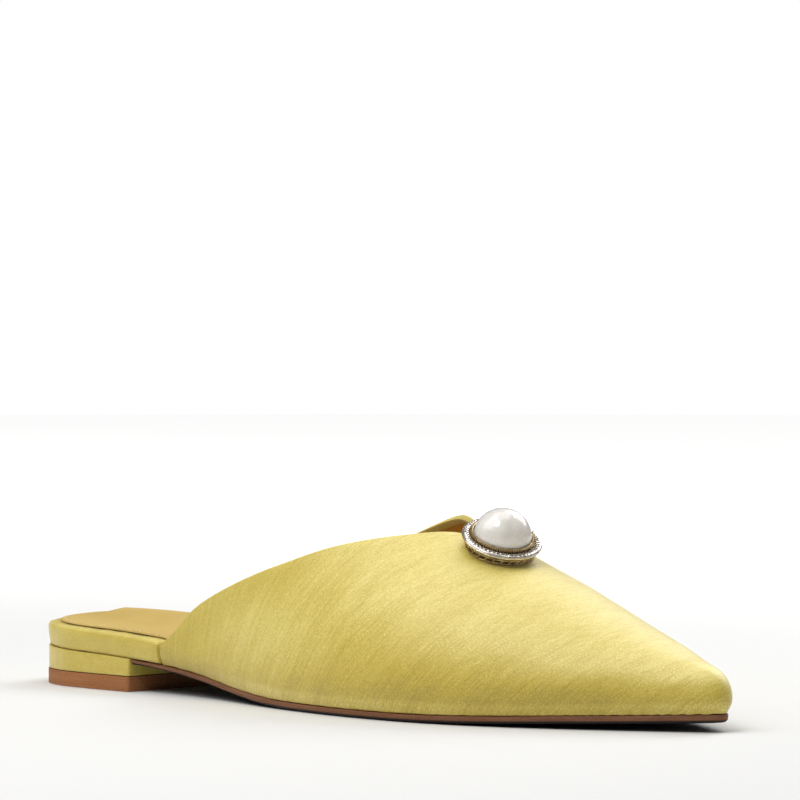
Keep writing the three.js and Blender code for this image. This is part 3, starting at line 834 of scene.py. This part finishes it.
bpy.ops.mesh.primitive_uv_sphere_add(segments=10, ring_count=8, radius=MM)
rib = baked("rib")
ribs = []
for i in range(RIBS):
    angle = 2 * math.pi * i / RIBS
    ribs.append(placed(angle, RIB_RADIUS, RIB_HEIGHT, 0.0, (0.37, 0.27, 1.0)))
cup_ribs = repeated("cup_ribs", rib, ribs)
cup_ribs.data.materials.append(gilt)
smooth(cup_ribs, 80)
finish_piece(cup_ribs, "gilt_metal")

halo = copy_node("brooch_halo", "halo_ring")
crease(halo, 40, 0.4)
apply(halo, "SUBSURF", levels=2, render_levels=2)
halo.data.materials.append(silver)
smooth(halo, 60)
finish_piece(halo, "bright_metal", "brooch_halo")

edge_ring = ring("halo_edge", EDGE_RADIUS, EDGE_HEIGHT, 0.34)
edge_ring.data.materials.append(pale_gold)
smooth(edge_ring, 80)
finish_piece(edge_ring, "bright_metal")

bpy.ops.mesh.primitive_cone_add(vertices=8, radius1=0.52 * MM, radius2=0.26 * MM, depth=0.34 * MM)
brilliant = baked("brilliant")
# The outer row leaves a plain polished stretch.
PLAIN_FROM, PLAIN_TO = math.radians(232), math.radians(262)
stones = []
for count, radius, height, lean in ((50, 10.4, 4.52, -0.12), (56, 11.25, 4.44, 0.3)):
    for i in range(count):
        angle = 2 * math.pi * i / count
        if radius > 11 and PLAIN_FROM < angle < PLAIN_TO:
            continue
        spin = Matrix.Rotation(i * 2.4, 4, "Z")
        stones.append(placed(angle, radius, height, lean) @ spin)
stone_rows = repeated("halo_stones", brilliant, stones)
stone_rows.data.materials.append(stone)
finish_piece(stone_rows, "bright_metal")

bpy.ops.mesh.primitive_ico_sphere_add(subdivisions=2, radius=0.2 * MM)
grain_bead = baked("grain_bead")
beads = []
for count, radius, height in ((50, 9.98, 4.45), (54, 10.84, 4.58), (60, 11.72, 4.15)):
    for i in range(count):
        beads.append(placed(2 * math.pi * (i + 0.5) / count, radius, height))
grains = repeated("halo_grains", grain_bead, beads)
grains.data.materials.append(silver)
smooth(grains, 80)
finish_piece(grains, "bright_metal")


def on_vamp(angle):
    """Height of the satin under the basket's foot at this angle, or 0 over the throat."""
    above = 8
    start = placed(angle, FOOT_RADIUS, above).translation
    hit = vamp.ray_cast(start, -Vector(axis))[0]
    found = above - (hit - start).length / MM if hit else 0.0
    return min(found, FOOT_HIGHEST)


vamp = BVHTree.FromObject(upper, bpy.context.evaluated_depsgraph_get())
head_ring = ring("head_ring", HEAD_RADIUS, HEAD_HEIGHT, 0.32)
foot_points = []
for i in range(FOOT_STEPS):
    angle = 2 * math.pi * i / FOOT_STEPS
    height = on_vamp(angle) + FOOT_THICK + 0.05
    for k in range(FOOT_SIDES):
        turned = 2 * math.pi * k / FOOT_SIDES
        out = FOOT_RADIUS + FOOT_THICK * math.cos(turned)
        foot_points.append(placed(angle, out, height + FOOT_THICK * math.sin(turned)).translation)
foot_faces = []
for i in range(FOOT_STEPS):
    for k in range(FOOT_SIDES):
        ahead, aside = (i + 1) % FOOT_STEPS, (k + 1) % FOOT_SIDES
        corners = ((i, k), (ahead, k), (ahead, aside), (i, aside))
        foot_faces.append([a * FOOT_SIDES + b for a, b in corners])
foot_mesh = bpy.data.meshes.new("foot_ring")
foot_mesh.from_pydata(foot_points, [], foot_faces)
foot_ring = new_piece("foot_ring", foot_mesh)
bpy.ops.mesh.primitive_cylinder_add(vertices=8, radius=0.27 * MM, depth=MM)
bar = baked("bar")
bars = []
for i in range(BARS):
    angle = 2 * math.pi * i / BARS
    low = placed(angle - BAR_LEAN, FOOT_RADIUS, on_vamp(angle) + 0.25).translation
    high = placed(angle + BAR_LEAN, HEAD_RADIUS, HEAD_HEIGHT).translation
    along = high - low
    straight = along.to_track_quat("Z", "Y").to_matrix().to_4x4()
    stretch = Matrix.Diagonal((1, 1, along.length / MM, 1))
    bars.append(Matrix.Translation((low + high) / 2) @ straight @ stretch)
basket_bars = repeated("basket_bars", bar, bars)
gallery = joined("gold_basket", [foot_ring, head_ring, basket_bars])
gallery.data.materials.append(gilt)
smooth(gallery, 50)
finish_piece(gallery, "gilt_metal", "brooch_gallery")

# Floor, light and camera

bpy.ops.mesh.primitive_circle_add(vertices=96, radius=2.4, fill_type="NGON")
floor = baked("floor")
floor.data.transform(Matrix.Translation((0, 0, -0.0001)))
paper, tree, shader = material("white_paper", Roughness=0.85, Specular_IOR_Level=0.2)
where = object_place(tree)
mottle = noise(tree, where, (3, 3, 3), 2.0)
white = blend(tree, mottle, (0.72, 0.717, 0.705, 1), (0.74, 0.737, 0.725, 1))
tree.links.new(white, shader.inputs["Base Color"])
away = add(tree, "ShaderNodeVectorMath", {0: where}, operation="LENGTH").outputs["Value"]
tree.links.new(between(tree, away, 0.25, 1.1, 0.0, 0.75), shader.inputs["Emission Strength"])
shader.inputs["Emission Color"].default_value = (1, 1, 1, 1)
floor.data.materials.append(paper)

VIEW_AZIMUTH = math.radians(45.24)
VIEW_ELEVATION = math.radians(4.47)
DISTANCE = 1.583
PICTURE = 800  # width of the photo in its own pixels, the unit of the next three
FOCAL = 5288
SHIFT_RIGHT, SHIFT_UP = 19.3, 236.16  # where the camera aims, from the middle of the shoe
toward_camera = Vector(
    (
        math.sin(VIEW_AZIMUTH) * math.cos(VIEW_ELEVATION),
        -math.cos(VIEW_AZIMUTH) * math.cos(VIEW_ELEVATION),
        math.sin(VIEW_ELEVATION),
    )
)
image_right = Vector((math.cos(VIEW_AZIMUTH), math.sin(VIEW_AZIMUTH), 0))
image_up = toward_camera.cross(image_right)


def panel(name, right, up, near, distance, size, energy):
    """Square soft light aimed at the shoe."""
    bpy.ops.object.light_add(type="AREA", location=(0, 0, 0))
    lamp = bpy.context.view_layer.objects.active
    lamp.name = name
    lamp.data.size = size
    lamp.data.energy = energy
    away = image_right * right + Vector((0, 0, 1)) * up + toward_camera * near
    lamp.location = Vector((0.03, 0, 0.03)) + away.normalized() * distance
    lamp.rotation_mode = "QUATERNION"
    lamp.rotation_quaternion = away.to_track_quat("Z", "Y")


panel("back", 0.6, 0.85, -0.75, 1.2, 0.8, 8.0)
panel("key", -0.65, 0.85, 0.2, 1.2, 1.0, 7.0)
panel("soft_box", -0.32, 0.85, 0.55, 1.2, 0.4, 3.0)
panel("overhead", 0.0, 1.0, -0.1, 1.2, 0.9, 5.0)

world = bpy.data.worlds.new("studio")
bpy.context.scene.world = world
world.use_nodes = True
tree = world.node_tree
sky = tree.nodes["Background"]
direction = add(tree, "ShaderNodeTexCoord").outputs["Generated"]
height = add(tree, "ShaderNodeSeparateXYZ", {0: direction}).outputs["Z"]
ambient = between(tree, height, 0.0, 0.9, 0.05, 0.34)
seen = add(tree, "ShaderNodeLightPath").outputs["Is Camera Ray"]
level = add(tree, "ShaderNodeMix", {0: seen, 2: ambient, 3: 1.0}, data_type="FLOAT").outputs[0]
tree.links.new(level, sky.inputs["Strength"])
sky.inputs["Color"].default_value = (1, 1, 1, 1)

target = Vector((-0.1, 0.98, 20)) * MM
camera_data = bpy.data.cameras.new("photo_camera")
camera_data.sensor_width = 36
camera_data.lens = camera_data.sensor_width * FOCAL / PICTURE
camera = bpy.data.objects.new("photo_camera", camera_data)
bpy.context.scene.collection.objects.link(camera)
camera.location = target + toward_camera * DISTANCE
aim = target + (image_right * SHIFT_RIGHT + image_up * SHIFT_UP) * (DISTANCE / FOCAL)
camera.rotation_mode = "QUATERNION"
camera.rotation_quaternion = (camera.location - aim).to_track_quat("Z", "Y")
camera_data.clip_start = 0.1
camera_data.clip_end = 20
bpy.context.scene.camera = camera
bpy.context.scene.view_settings.view_transform = "Standard"
